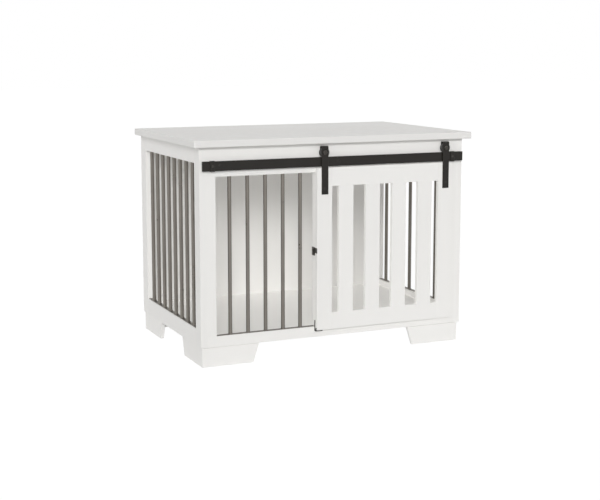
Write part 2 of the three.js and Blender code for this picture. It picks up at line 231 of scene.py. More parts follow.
# An empty shader group, whose outputs are all plain numbers
def newGroup(name, inputs, outputs):
    group = bpy.data.node_groups.new(name, "ShaderNodeTree")
    for socketName, kind, value in inputs:
        socket = group.interface.new_socket(socketName, in_out="INPUT", socket_type=kind)
        socket.default_value = value
    for socketName in outputs:
        group.interface.new_socket(socketName, in_out="OUTPUT", socket_type="NodeSocketFloat")
    return group, group.nodes.new("NodeGroupInput"), group.nodes.new("NodeGroupOutput")


# A node with its own settings and the values of its free inputs
def addNode(tree, kind, **settings):
    node = tree.nodes.new(kind)
    for key, value in settings.items():
        if key in node.bl_rna.properties:
            setattr(node, key, value)
        else:
            node.inputs[key].default_value = value
    return node


# Gives each input a value, or a link where the value is another node's output
def feed(tree, inputs, values):
    for socket, value in zip(inputs, values):
        if isinstance(value, bpy.types.NodeSocket):
            tree.links.new(value, socket)
        else:
            socket.default_value = value


def mathNode(tree, operation, first, second, clamp=False):
    node = addNode(tree, "ShaderNodeMath", operation=operation, use_clamp=clamp)
    feed(tree, node.inputs, (first, second))
    return node.outputs[0]


# The first colour, and the share's part of the second over it
def mixColour(tree, share, first, second):
    node = addNode(tree, "ShaderNodeMix", data_type="RGBA")
    feed(tree, (node.inputs["Factor"], node.inputs[6], node.inputs[7]), (share, first, second))
    return node.outputs[2]


# The colour, brighter or darker by a share of itself
def brightened(tree, colour, change):
    node = addNode(tree, "ShaderNodeHueSaturation", Color=colour)
    tree.links.new(mathNode(tree, "ADD", change, 1.0), node.inputs["Value"])
    return node.outputs["Color"]


# Noise inside a group, at the scale that the group is given under the name
def groupNoise(group, given, scaleName, vector=None, **settings):
    node = addNode(group, "ShaderNodeTexNoise", **settings)
    feed(group, (node.inputs["Vector"], node.inputs["Scale"]),
         (vector or given.outputs["Vector"], given.outputs[scaleName]))
    return node.outputs["Fac"]


# The share of the way that a value has gone from the first number to the second
def groupRange(group, value, start, end):
    node = addNode(group, "ShaderNodeMapRange", **{"From Min": start, "From Max": end})
    group.links.new(value, node.inputs["Value"])
    return node.outputs["Result"]


# Values inside the four shader groups
patterns = {
    "noiseMiddle": 0.5,
    "patchDetail": 4,
    "patchRange": (0.42, 0.66),  # the noise's values where wear begins, and where it is full
    "cloudDetail": 5,
    "upRange": (0.5, 1.0),  # how far a face looks up where dust begins to lie, and where it is full
    "dimpleDetail": 2,
    "swellDetail": 3,
    "swellHeight": 6.0,  # times the dimples' height
    "grainDetail": 4,
    "grainDistortion": 0.4,
}


# Wear and painted highlight on rounded edges: the piece's edge attribute, broken up by noise.
# The mask lightens the edges' colour, partly as real wear and partly as a painted highlight.
def makeEdgeWearAndHighlight():
    group, given, made = newGroup("edge_wear_and_highlight", [
        ("Vector", "NodeSocketVector", (0, 0, 0)),
        ("Amount", "NodeSocketFloat", 0.5),
        ("Patch Scale", "NodeSocketFloat", 60.0),
    ], ["Mask"])
    edge = addNode(group, "ShaderNodeAttribute", attribute_name="edge")
    patches = groupNoise(group, given, "Patch Scale", Detail=patterns["patchDetail"])
    broken = groupRange(group, patches, *patterns["patchRange"])
    wornAndLit = mathNode(group, "MULTIPLY", edge.outputs["Fac"], broken)
    wornAndLit = mathNode(group, "MULTIPLY", wornAndLit, given.outputs["Amount"], clamp=True)
    group.links.new(wornAndLit, made.inputs["Mask"])
    return group


# Fine dust that settles on faces turned up
def makeDust():
    group, given, made = newGroup("settled_dust", [
        ("Vector", "NodeSocketVector", (0, 0, 0)),
        ("Amount", "NodeSocketFloat", 0.1),
        ("Scale", "NodeSocketFloat", 12.0),
    ], ["Mask"])
    split = addNode(group, "ShaderNodeSeparateXYZ")
    group.links.new(addNode(group, "ShaderNodeNewGeometry").outputs["Normal"], split.inputs[0])
    up = groupRange(group, split.outputs["Z"], *patterns["upRange"])
    cloud = groupNoise(group, given, "Scale", Detail=patterns["cloudDetail"])
    laid = mathNode(group, "MULTIPLY", up, cloud)
    laid = mathNode(group, "MULTIPLY", laid, given.outputs["Amount"], clamp=True)
    group.links.new(laid, made.inputs["Mask"])
    return group


# Sprayed coat: a fine skin of dimples and slow swells, and a soft change of tone and gloss
def makeSprayedCoat():
    group, given, made = newGroup("sprayed_coat", [
        ("Vector", "NodeSocketVector", (0, 0, 0)),
        ("Dimple Scale", "NodeSocketFloat", 700.0),
        ("Swell Scale", "NodeSocketFloat", 9.0),
        ("Roughness", "NodeSocketFloat", 0.4),
        ("Roughness Change", "NodeSocketFloat", 0.08),
    ], ["Tone", "Roughness", "Height"])
    dimples = groupNoise(group, given, "Dimple Scale", Detail=patterns["dimpleDetail"])
    swells = groupNoise(group, given, "Swell Scale", Detail=patterns["swellDetail"])
    toneAndPaintedLight = mathNode(group, "SUBTRACT", swells, patterns["noiseMiddle"])
    change = mathNode(group, "MULTIPLY", toneAndPaintedLight, given.outputs["Roughness Change"])
    roughness = mathNode(group, "ADD", given.outputs["Roughness"], change, clamp=True)
    raised = mathNode(group, "MULTIPLY", toneAndPaintedLight, patterns["swellHeight"])
    height = mathNode(group, "ADD", dimples, raised)
    for name, output in (("Tone", toneAndPaintedLight), ("Roughness", roughness), ("Height", height)):
        group.links.new(output, made.inputs[name])
    return group


# Grain drawn out along one axis: of the board under the paint, or of drawn steel
def makeDrawnGrain():
    group, given, made = newGroup("drawn_grain", [
        ("Vector", "NodeSocketVector", (0, 0, 0)),
        ("Stretch", "NodeSocketVector", (1, 1, 1)),
        ("Scale", "NodeSocketFloat", 90.0),
    ], ["Grain"])
    drawn = addNode(group, "ShaderNodeVectorMath", operation="MULTIPLY")
    feed(group, drawn.inputs, (given.outputs["Vector"], given.outputs["Stretch"]))
    lines = groupNoise(group, given, "Scale", drawn.outputs[0],
                       Detail=patterns["grainDetail"], Distortion=patterns["grainDistortion"])
    grain = mathNode(group, "SUBTRACT", lines, patterns["noiseMiddle"])
    group.links.new(grain, made.inputs["Grain"])
    return group


edgeWearAndHighlight = makeEdgeWearAndHighlight()
settledDust = makeDust()
sprayedCoat = makeSprayedCoat()
drawnGrain = makeDrawnGrain()


def useGroup(tree, group, coordinates, values):
    node = addNode(tree, "ShaderNodeGroup", node_tree=group)
    for name, value in values.items():
        node.inputs[name].default_value = value
    tree.links.new(coordinates, node.inputs["Vector"])
    return node


# A finish from its dictionary: a sprayed coat, grain and dust where the finish has them, wear and
# painted highlight on rounded edges, and each piece's own tone, which on a few pieces is painted
# light or shade, where the finish says how much it counts. Under shader are the values that are
# the same all over.
def makeFinish(finish, stretch=None, name=None):
    material = bpy.data.materials.new(name or finish["name"])
    material.use_nodes = True
    tree = material.node_tree
    shader = tree.nodes["Principled BSDF"]
    place = tree.nodes.new("ShaderNodeTexCoord").outputs["Object"]

    coat = useGroup(tree, sprayedCoat, place, finish["coat"])
    change = mathNode(tree, "MULTIPLY", coat.outputs["Tone"], finish["toneChange"])
    height = coat.outputs["Height"]
    if stretch:
        values = {"Stretch": stretch, "Scale": finish["grainScale"]}
        grain = useGroup(tree, drawnGrain, place, values).outputs["Grain"]
        share = mathNode(tree, "MULTIPLY", grain, finish["grainChange"])
        change = mathNode(tree, "ADD", change, share)
        raised = mathNode(tree, "MULTIPLY", grain, finish["grainHeight"])
        height = mathNode(tree, "ADD", height, raised)
    # Each piece's own tone: random on most pieces, and painted shade or painted light on the
    # tabletop, floor panel and back panel
    if "pieceToneAndLight" in finish:
        own = addNode(tree, "ShaderNodeAttribute", attribute_name="toneAndPaintedLight")
        share = mathNode(tree, "MULTIPLY", own.outputs["Fac"], finish["pieceToneAndLight"])
        change = mathNode(tree, "ADD", change, share)

    colour = brightened(tree, finish["colour"], change)
    # The edges' colour is mixed toward a lighter one: partly real wear, partly a painted highlight
    wearAndHighlight = useGroup(tree, edgeWearAndHighlight, place, finish["wearAndHighlight"])
    colour = mixColour(tree, wearAndHighlight.outputs["Mask"], colour, finish["wornAndHighlightColour"])
    if "dust" in finish:
        dust = useGroup(tree, settledDust, place, finish["dust"])
        colour = mixColour(tree, dust.outputs["Mask"], colour, finish["dustColour"])
    tree.links.new(colour, shader.inputs["Base Color"])
    tree.links.new(coat.outputs["Roughness"], shader.inputs["Roughness"])
    bump = addNode(tree, "ShaderNodeBump", Strength=1.0, Distance=finish["bump"])
    tree.links.new(height, bump.inputs["Height"])
    tree.links.new(bump.outputs["Normal"], shader.inputs["Normal"])
    for socket, value in finish.get("shader", {}).items():
        shader.inputs[socket].default_value = value
    return material


# White lacquer on board, with the board's grain drawn out along one axis
lacquer = {
    "colour": (0.85, 0.84, 0.818, 1),
    "wornAndHighlightColour": (0.86, 0.848, 0.825, 1),
    "dustColour": (0.70, 0.685, 0.66, 1),
    "coat": {
        "Dimple Scale": 650.0, "Swell Scale": 5.0, "Roughness": 0.5, "Roughness Change": 0.12,
    },
    "toneChange": 0.03,
    "grainScale": 120.0,
    "grainChange": 0.012,
    "grainHeight": 1.5,
    "pieceToneAndLight": 0.012,
    "wearAndHighlight": {"Amount": 0.6, "Patch Scale": 45.0},
    "dust": {"Amount": 0.12, "Scale": 9.0},
    "bump": 0.00005,
    "shader": {"Specular IOR Level": 0.35},
}
whiteAlong = {
    "x": makeFinish(lacquer, (0.04, 1, 1), "white_lacquer_across"),
    "y": makeFinish(lacquer, (1, 0.04, 1), "white_lacquer_deep"),
    "z": makeFinish(lacquer, (1, 1, 0.04), "white_lacquer_upright"),
}

# Drawn steel of the bars and their strips
barFinish = {
    "name": "dark_bar_steel",
    "colour": (0.195, 0.18, 0.161, 1),
    "wornAndHighlightColour": (0.28, 0.26, 0.23, 1),
    "coat": {
        "Dimple Scale": 1400.0, "Swell Scale": 25.0, "Roughness": 0.3, "Roughness Change": 0.15,
    },
    "toneChange": 0.25,
    "grainScale": 900.0,
    "grainChange": 0.2,
    "grainHeight": 1.0,
    "wearAndHighlight": {"Amount": 0.7, "Patch Scale": 120.0},
    "bump": 0.00002,
    "shader": {"Metallic": 0.9, "Specular Tint": (0.7, 0.7, 0.7, 1)},
}
barSteel = makeFinish(barFinish, (1, 1, 0.02))

# Black steel, as a sprayed coat or as the thin black skin of a bolt
blackCoat = {
    "name": "black_powder_coat",
    "colour": (0.0105, 0.0088, 0.0068, 1),
    # The lighter colour on rounded edges is partly real wear and partly a painted highlight
    "wornAndHighlightColour": (0.10, 0.095, 0.085, 1),
    "dustColour": (0.16, 0.155, 0.145, 1),
    "coat": {
        "Dimple Scale": 1800.0, "Swell Scale": 30.0, "Roughness": 0.4, "Roughness Change": 0.18,
    },
    "toneChange": 0.5,
    "wearAndHighlight": {"Amount": 0.75, "Patch Scale": 150.0},
    "dust": {"Amount": 0.25, "Scale": 60.0},
    "bump": 0.00006,
    "shader": {"Metallic": 0.0, "Specular IOR Level": 0.28},
}
blackBolt = {
    **blackCoat,
    "name": "blackened_bolt_steel",
    "colour": (0.055, 0.05, 0.045, 1),
    # The lighter colour on rounded edges is partly real wear and partly a painted highlight
    "wornAndHighlightColour": (0.22, 0.21, 0.19, 1),
    "coat": {**blackCoat["coat"], "Roughness": 0.34},
    "wearAndHighlight": {"Amount": 0.9, "Patch Scale": 150.0},
    "bump": 0.00002,
    "shader": {"Metallic": 0.7, "Specular IOR Level": 0.5},
}
blackSteel = makeFinish(blackCoat)
boltSteel = makeFinish(blackBolt)

# Moulded nylon of the wheels
nylon = {
    "name": "black_moulded_nylon",
    "colour": (0.045, 0.043, 0.041, 1),
    # The lighter colour on rounded edges is partly real wear and partly a painted highlight
    "wornAndHighlightColour": (0.16, 0.155, 0.15, 1),
    "coat": {
        "Dimple Scale": 2600.0, "Swell Scale": 80.0, "Roughness": 0.36, "Roughness Change": 0.2,
    },
    "toneChange": 0.4,
    "wearAndHighlight": {"Amount": 0.5, "Patch Scale": 220.0},
    "bump": 0.00003,
}
blackNylon = makeFinish(nylon)
print("materials made")


boards = {
    "rounding": 0.3 * mm,  # boards that meet other boards
    "floorRounding": 0.1 * mm,
    "topRounding": 1.6 * mm,  # tabletop's long edges
    "topCorner": 2.5 * mm,  # tabletop's upright corners
    # painted shade: the tabletop's colour is made darker so that its top looks less lit
    "topPaintedShade": -6,
    # painted light: the floor panel's colour is made brighter so that the cabinet's floor looks
    # more lit
    "floorPaintedLight": 7,
}

# Each board gets a slightly different tone from -1 to 1, spread evenly by the golden ratio
goldenRatio = 0.618034
tones = ((count * goldenRatio) % 1 * 2 - 1 for count in itertools.count(1))


def addLacquered(name, shapes, grain, body, nodes, toneAndPaintedLight):
    addPiece(name, shapes, whiteAlong[grain], body, nodes, toneAndPaintedLight)


def addBlackened(name, shapes, material, body, nodes=()):
    addPiece(name, shapes, material, body, nodes)


# A plain board, with its length and its grain along one axis
def addBoard(node, axis, body, radii, rim, toneAndPaintedLight=None):
    low, high = solidBox(node)
    pair, along = acrossAxes[axis], axisNumber[axis]
    section = rectangle(low[pair], high[pair])
    shape = straightPiece(axis, section, low[along], high[along], radii, rim)
    ownToneAndLight = next(tones) if toneAndPaintedLight is None else toneAndPaintedLight
    addLacquered(f"{node}_finished", [shape], axis, body, [node], ownToneAndLight)


def addTabletop():
    low, high = solidBox("tabletop")
    shape = straightPiece("z", rectangle(low[:2], high[:2]), low[2], high[2],
                          boards["topCorner"], boards["topRounding"], steps=4)
    addLacquered("tabletop_finished", [shape], "x", "cabinet", ["tabletop"], boards["topPaintedShade"])


def addCabinetBoards():
    rounding = boards["floorRounding"]
    addBoard("floor_panel", "x", "cabinet", rounding, rounding, boards["floorPaintedLight"])
    along = {"front_sill": "x"}
    along.update({f"front_{name}_stile": "z" for name in ("left", "centre", "right")})
    for side in ("left", "right"):
        along.update({f"{side}_{end}_stile": "z" for end in ("front", "back")})
        along[f"{side}_bottom_rail"] = "y"
    for node, axis in along.items():
        addBoard(node, axis, "cabinet", boards["rounding"], boards["rounding"])


backPanel = {
    "setBack": 0.4 * mm,  # behind the back stiles' faces
    # painted shade: the back panel's colour is made a little darker so that the inside looks less
    # lit
    "toneAndPaintedLight": -1,
    "capRadius": 5.5 * mm,
    "capRounding": 0.3 * mm,
    "capSink": 1 * mm,
    "capPlaces": (-320 * mm, -160 * mm, 0, 160 * mm, 320 * mm),  # from the middle
    "capHeights": (71 * mm, 552 * mm),  # into the floor panel's edge, and the tabletop's batten
    "capTone": -1.5,
}


# The back panel stands a little behind the stiles, and caps cover the screws through it
def addBackPanel():
    low, high = solidBox("back_panel")
    face = high[1] - backPanel["setBack"]
    rounding = boards["rounding"]
    section = rectangle((low[1], low[2]), (face, high[2]))
    panel = straightPiece("x", section, low[0], high[0], rounding, rounding)
    addLacquered("back_panel_finished", [panel], "x", "cabinet", ["back_panel"], backPanel["toneAndPaintedLight"])
    outline = rectangle((0, -backPanel["capSink"]), (backPanel["capRadius"], backPanel["setBack"]))
    caps = [turnedPiece("y", (x, face, z), outline, backPanel["capRounding"], sides=40)
            for z in backPanel["capHeights"] for x in backPanel["capPlaces"]]
    addLacquered("back_screw_caps", caps, "x", "cabinet", [], backPanel["capTone"])


grooveFit = 0.3 * mm  # between a grille's upper strip and its groove


# A rail whose underside has a groove for the grille's upper strip. Where the rail runs on past
# the grille it has no groove.
def addGroovedRail(node, axis, grilleNode):
    low, high = solidBox(node)
    stripLow, stripHigh = solidBox(grilleNode)
    wide, along = acrossAxes[axis][0], axisNumber[axis]
    rounding = boards["rounding"]
    middle = (stripLow[wide] + stripHigh[wide]) / 2
    half = (stripHigh[wide] - stripLow[wide]) / 2 + grooveFit
    top = stripHigh[2] + grooveFit
    plain = rectangle((low[wide], low[2]), (high[wide], high[2]))
    grooved = [
        (low[wide], low[2]), (middle - half, low[2]), (middle - half, top), (middle + half, top),
        (middle + half, low[2]), (high[wide], low[2]), (high[wide], high[2]), (low[wide], high[2]),
    ]
    start, end = low[along], high[along]
    grooveStart, grooveEnd = stripLow[along] - grooveFit, stripHigh[along] + grooveFit
    if grooveStart - start < rounding:  # the groove runs from end to end
        shapes = [straightPiece(axis, grooved, start, end, rounding, rounding)]
    else:
        shapes = [straightPiece(axis, section, spanStart, spanEnd, rounding, 0)
                  for section, spanStart, spanEnd in ((plain, start, grooveStart),
                                                      (grooved, grooveStart, grooveEnd),
                                                      (plain, grooveEnd, end))]
    addLacquered(f"{node}_finished", shapes, axis, "cabinet", [node], next(tones))


foot = {
    "rounding": 0.6 * mm,
    "gap": 1.9 * mm,  # the corner blocks carry the body; the boards stop this far below it
    "taper": 16 * mm,
}


# A foot board is narrower at the floor, on its inner edge. Inward is 1 where its inner edge lies
# higher along the board's length than its outer one, and -1 where it lies lower.
def addFootBoard(node, axis, thickness, inward):
    low, high = solidBox(node)
    number, along = axisNumber[axis], axisNumber[thickness]
    outer, inner = (low[number], high[number]) if inward > 0 else (high[number], low[number])
    top = high[2] - foot["gap"]
    taper = inward * foot["taper"]
    outline = [(outer, low[2]), (inner - taper, low[2]), (inner, top), (outer, top)]
    shape = straightPiece(thickness, outline, low[along], high[along],
                          foot["rounding"], foot["rounding"])
    addLacquered(f"{node}_finished", [shape], axis, "cabinet", [node], next(tones))


def addFeet():
    for end, backward in (("front", 1), ("back", -1)):
        for side, rightward in (("left", 1), ("right", -1)):
            name = f"{end}_{side}_foot"
            addFootBoard(f"{name}_wide_board", "x", "y", rightward)
            addFootBoard(f"{name}_side_board", "y", "x", backward)
            addBoard(f"{name}_block", "z", "cabinet", foot["rounding"], foot["rounding"])


addTabletop()
addCabinetBoards()
addBackPanel()
addGroovedRail("left_top_rail", "y", "left_grille")
addGroovedRail("right_top_rail", "y", "right_grille")
addGroovedRail("front_header", "x", "front_grille")
addFeet()
print("cabinet boards made")


grille = {
    "barRadius": 5 * mm,
    "barSides": 40,
    "strips": (1.2 * mm, 3 * mm),  # lower and upper
    "stripRounding": 0.5 * mm,
    "counts": {"front": 5, "left": 8, "right": 8},
    "pitch": 49.2 * mm,
}
weld = {
    "leg": 1.5 * mm,
    "foot": 0.2 * mm,  # the outer edge's height
    "neck": 0.1 * mm,  # from the bar's surface, at the bead's top
    "inStrip": 0.4 * mm,
    "inBar": 0.5 * mm,
    "hollow": (0.45, 0.5),  # shares of the leg, out from the bar and up
    "rounding": 0.15 * mm,
    "ripples": ((0.12 * mm, 9, 0), (0.08 * mm, 5, 1)),  # depth, waves round the bar, start
}


# A weld bead's outer radius rises and falls a little as it goes round the bar: each ripple adds
# depth * sin(waves * turn + start)
def weldRipple(turn, radius):
    ripple = sum(depth * np.sin(turn * waves + start) for depth, waves, start in weld["ripples"])
    return radius + ripple * (radius > grille["barRadius"] + weld["foot"])


# The bead's outline about the bar, hollow from the bar's surface down to the strip
def weldOutline():
    r, leg = grille["barRadius"], weld["leg"]
    inside, bottom = r - weld["inBar"], -weld["inStrip"]
    out, up = weld["hollow"]
    return [(inside, bottom), (r + leg, bottom), (r + leg, weld["foot"]),
            (r + leg * out, leg * up), (r + weld["neck"], leg), (inside, leg)]


def addGrille(side):
    node = f"{side}_grille"
    low, high = solidBox(node)
    axis = "x" if side == "front" else "y"
    along = axisNumber[axis]
    wide = 1 - along
    lower, upper = grille["strips"]
    rounding, sides = grille["stripRounding"], grille["barSides"]
    shapes = []
    for z, strip in ((low[2], lower), (high[2] - upper, upper)):
        section = rectangle((low[wide], z), (high[wide], z + strip))
        shapes.append(straightPiece(axis, section, low[along], high[along],
                                    rounding, rounding, steps=3))
    bar = rectangle((0, low[2] + lower / 2), (grille["barRadius"], high[2] - upper / 2))
    count = grille["counts"][side]
    for i in range(count):
        centre = (low + high) / 2
        centre[along] += (i - (count - 1) / 2) * grille["pitch"]
        centre[2] = 0
        shapes.append(turnedPiece("z", centre, bar, 0, sides, steps=1))
        centre[2] = low[2] + lower
        shapes.append(turnedPiece("z", centre, weldOutline(), weld["rounding"], sides,
                                  steps=1, wave=weldRipple))
    addPiece(f"{node}_finished", shapes, barSteel, "cabinet", [node])


for sideName in ("front", "left", "right"):
    addGrille(sideName)
print("grilles made")


crossHead = {
    "rings": 14,
    "sides": 48,
    "start": 0.3,  # radians from the cross to the first side
    "arm": 0.62,  # half the cross and half its slot, as shares of the head's radius
    "slot": 0.13,
    "steepness": 40,
    "skirt": 0.5 * mm,  # sunk below the face
    "rimEdge": 0.7,
}


# A domed head with a cross recess, which points back along the axis. On a grid of radius s and
# turn t its height is height * (1 - s^4), less the recess where the point lies in one of the two
# slots, with a soft step at the slot's walls.
def screwHead(axis, centre, radius, height, depth):
    count, steep = crossHead["sides"], crossHead["steepness"]
    s = np.linspace(0, 1, crossHead["rings"])[:, None]
    t = np.arange(count)[None, :] / count * 2 * np.pi + crossHead["start"]
    u, v = s * np.cos(t), s * np.sin(t)
    longer, shorter = np.maximum(np.abs(u), np.abs(v)), np.minimum(np.abs(u), np.abs(v))
    inArm = 1 / (1 + np.exp((longer - crossHead["arm"]) * steep))
    inSlot = 1 / (1 + np.exp((shorter - crossHead["slot"]) * steep))
    rise = height * (1 - s ** 4) - depth * inArm * inSlot
    rise = np.concatenate([rise, np.full((1, count), -crossHead["skirt"])])
    u = np.concatenate([u, u[-1:]]) * radius
    v = np.concatenate([v, v[-1:]]) * radius
    faces = ringFaces(len(rise), count) + [lastFace(len(rise), count)]
    edge = np.zeros(rise.shape)
    edge[-3:-1] = crossHead["rimEdge"]
    return aboutAxis(axis, centre, u, v, rise, -1), faces, edge.reshape(-1)


hexagon = {
    "sides": 72,
    "levels": (0, 0.55, 0.7, 0.8, 0.9, 1.0),  # shares of the head's height
    "topRadius": 0.96,  # of half the width over the flats, where the cone ends
    "coneSlope": 1.5,
    "coneEdge": 0.8,
}


# A hexagon head, which points back along the axis: at the turn t its radius is half the width
# over the flats, over the cosine of the angle from the nearest flat's middle, and a cone trims
# the corners at the top.
def hexHead(axis, centre, flats, height):
    sides = hexagon["sides"]
    turn = np.arange(sides) / sides * 2 * np.pi
    hexRadius = flats / 2 / np.cos((turn + np.pi / 6) % (np.pi / 3) - np.pi / 6)
    levels = np.array(hexagon["levels"])[:, None] * height
    cone = flats / 2 * hexagon["topRadius"] + (height - levels) * hexagon["coneSlope"]
    radius = np.minimum(hexRadius[None, :], cone)
    solid = aboutAxis(axis, centre, radius * np.cos(turn), radius * np.sin(turn), levels, -1)
    faces = ringFaces(len(levels), sides) + [firstFace(sides), lastFace(len(levels), sides)]
    edge = np.zeros((len(levels), sides))
    edge[2:5] = hexagon["coneEdge"]
    return solid, faces, edge.reshape(-1)


rail = {
    "rounding": 0.5 * mm,
    "spacerBore": 2.8 * mm,
    "spacerRounding": 0.5 * mm,
    "headRadius": 5 * mm,
    "headHeight": 1.2 * mm,
    "recess": 0.8 * mm,
    "shankRadius": 2.5 * mm,
}


def addSlideRail():
    low, high = solidBox("slide_rail")
    rounding = rail["rounding"]
    shape = straightPiece("x", rectangle(low[1:], high[1:]), low[0], high[0],
                          rounding, rounding, steps=3)
    addBlackened("slide_rail_finished", [shape], blackSteel, "cabinet", ["slide_rail"])


def addRailSpacer(place):
    node = f"rail_spacer_{place}"
    low, high = solidBox(node)
    centre = (low + high) / 2
    centre[1] = low[1]
    outline = rectangle((rail["spacerBore"], 0), ((high[0] - low[0]) / 2, high[1] - low[1]))
    spacer = turnedPiece("y", centre, outline, rail["spacerRounding"], sides=40)
    addBlackened(f"{node}_finished", [spacer], blackSteel, "cabinet", [node])


def addRailScrew(place):
    node = f"rail_screw_{place}"
    low, high = solidBox(node)
    centre = (low + high) / 2
    centre[1] = low[1] + rail["headHeight"]
    head = screwHead("y", centre, rail["headRadius"], rail["headHeight"], rail["recess"])
    outline = rectangle((0, 0), (rail["shankRadius"], high[1] - centre[1]))
    shank = turnedPiece("y", centre, outline, 0, sides=24, steps=1)
    addBlackened(f"{node}_finished", [head, shank], blackSteel, "cabinet", [node])


railStop = {
    "wall": 2.2 * mm,
    "narrower": 0.8 * mm,  # the collar's ends stand this far inside its solid's
    "lower": 1.4 * mm,  # and so do its top and its underside
    "rounding": 1.0 * mm,
    "rimShare": 0.8,  # of the rounding, at the cheeks' ends
    "bandInset": 0.6,  # of the rounding, from the cheeks' faces to the bands over the rail
    "bandRounding": 0.3 * mm,
    "screwInset": 0.1 * mm,
    "screwRadius": 3 * mm,
    "screwRise": 0.5 * mm,
    "recess": 0.8 * mm,
}


# A rail stop: a square collar round the rail, held by a set screw in its front face
def addRailStop(side):
    node = f"rail_stop_{side}"
    low, high = solidBox(node)
    less = np.array([railStop["narrower"], 0, railStop["lower"]])
    low, high = low + less, high - less
    rounding, wall = railStop["rounding"], railStop["wall"]
    band, thin = wall - railStop["lower"], railStop["bandRounding"]
    inset = rounding * railStop["bandInset"]
    shapes = [straightPiece("x", rectangle((y, low[2]), (y + wall, high[2])), low[0], high[0],
                            rounding, rounding * railStop["rimShare"], steps=4)
              for y in (low[1], high[1] - wall)]
    shapes += [straightPiece("x", rectangle((low[1] + inset, z), (high[1] - inset, z + band)),
                             low[0], high[0], thin, thin) for z in (low[2], high[2] - band)]
    addBlackened(f"{node}_finished", shapes, blackSteel, "cabinet", [node])
    centre = (low + high) / 2
    centre[1] = low[1] + railStop["screwInset"]
    screw = screwHead("y", centre, railStop["screwRadius"], railStop["screwRise"],
                      railStop["recess"])
    addBlackened(f"rail_stop_screw_{side}", [screw], boltSteel, "cabinet")


addSlideRail()
for placeName in ("left", "middle", "right"):
    addRailSpacer(placeName)
    addRailScrew(placeName)
addRailStop("left")
addRailStop("right")
print("slide rail made")


door = {
    "rounding": 0.25 * mm,
    "stileRim": 0.6 * mm,
    "slatRounding": 0.8 * mm,
    "slatRim": 0.2 * mm,
    "grooveWidth": 4 * mm,  # for the floor guide's fin
    "grooveDepth": 9 * mm,
}


# A door board that stands on the door's lower edge, with the floor guide's groove in it
def addGroovedDoorBoard(node, axis, rim):
    low, high = solidBox(node)
    front = (low[1] + high[1]) / 2 - door["grooveWidth"] / 2
    back = (low[1] + high[1]) / 2 + door["grooveWidth"] / 2
    top = low[2] + door["grooveDepth"]
    corners = [
        (low[1], low[2]), (front, low[2]), (front, top), (back, top),
        (back, low[2]), (high[1], low[2]), (high[1], high[2]), (low[1], high[2]),
    ]
    shape = straightPiece("x", corners, low[0], high[0], door["rounding"], rim)
    addLacquered(f"{node}_finished", [shape], axis, "door", [node], next(tones))


def addDoorPanel():
    addGroovedDoorBoard("door_left_stile", "z", door["stileRim"])
    addGroovedDoorBoard("door_right_stile", "z", door["stileRim"])
    addGroovedDoorBoard("door_bottom_rail", "x", door["rounding"])
    addBoard("door_top_rail", "x", "door", door["rounding"], door["rounding"])
    for number in (1, 2, 3, 4):
        addBoard(f"door_slat_{number}", "z", "door", door["slatRounding"], door["slatRim"])


addDoorPanel()
print("door panel made")


strap = {
    "thickness": 2 * mm,
    "bend": 3.5 * mm,
    "rounding": 0.5 * mm,
    "backLeg": 9 * mm,  # its lower end, below the wheel's middle
    "screwPlaces": (15 * mm, 52 * mm),  # above the strap's lower end
    "screwRadius": 3.6 * mm,
    "screwRise": 0.45 * mm,
    "recess": 0.9 * mm,
}


# A flat strap on the door's front, bent back over the wheel
def addStrap(side):
    node = f"hanger_strap_{side}"
    low, high = solidBox(node)
    wheelLow, wheelHigh = solidBox(f"hanger_wheel_{side}")
    centre = (wheelLow + wheelHigh) / 2
    thick, edge, bend = strap["thickness"], strap["rounding"], strap["bend"]
    inTop, inBack, legEnd = high[2] - thick, high[1] - thick, centre[2] - strap["backLeg"]
    corners = [
        (low[1], low[2]), (low[1] + thick, low[2]), (low[1] + thick, inTop), (inBack, inTop),
        (inBack, legEnd), (high[1], legEnd), (high[1], high[2]), (low[1], high[2]),
    ]
    radii = np.array([edge, edge, bend - thick, bend - thick, edge, edge, bend, bend])
    shape = straightPiece("x", corners, low[0], high[0], radii, edge, steps=4)
    addBlackened(f"{node}_finished", [shape], blackSteel, "door", [node])
    heads = [screwHead("y", (centre[0], low[1], low[2] + place), strap["screwRadius"],
                       strap["screwRise"], strap["recess"]) for place in strap["screwPlaces"]]
    addBlackened(f"strap_screws_{side}", heads, blackSteel, "door")


axle = {
    "flats": 9.4 * mm,
    "headHeight": 2.1 * mm,
    "washerRadius": 5.6 * mm,
    "washerThickness": 0.9 * mm,
    "washerRounding": 0.25 * mm,
    "shankRadius": 3 * mm,
    "shankStart": 1 * mm,  # before the strap's front face
    "shankLonger": 1.4 * mm,  # than the strap is deep
    "collarRadius": 4.5 * mm,
    "collarLength": 1.6 * mm,
    "collarRounding": 0.4 * mm,
}


# The bolt that a wheel turns on: a head and washer on the strap, and a collar behind it
def addAxle(side):
    node = f"wheel_axle_{side}"
    low, high = solidBox(f"hanger_strap_{side}")
    wheelLow, wheelHigh = solidBox(f"hanger_wheel_{side}")
    x, _, z = (wheelLow + wheelHigh) / 2
    front, back = low[1], high[1]
    face = (x, front - axle["washerThickness"], z)
    head = hexHead("y", face, axle["flats"], axle["headHeight"])
    outline = rectangle((0, 0), (axle["washerRadius"], axle["washerThickness"]))
    washer = turnedPiece("y", face, outline, axle["washerRounding"], sides=40)
    outline = rectangle((0, 0), (axle["shankRadius"], back - front + axle["shankLonger"]))
    shank = turnedPiece("y", (x, front - axle["shankStart"], z), outline, 0, sides=32, steps=1)
    outline = rectangle((0, 0), (axle["collarRadius"], axle["collarLength"]))
    collar = turnedPiece("y", (x, back, z), outline, axle["collarRounding"], sides=40)
    addBlackened(f"{node}_finished", [head, washer, shank, collar], boltSteel, "door", [node])


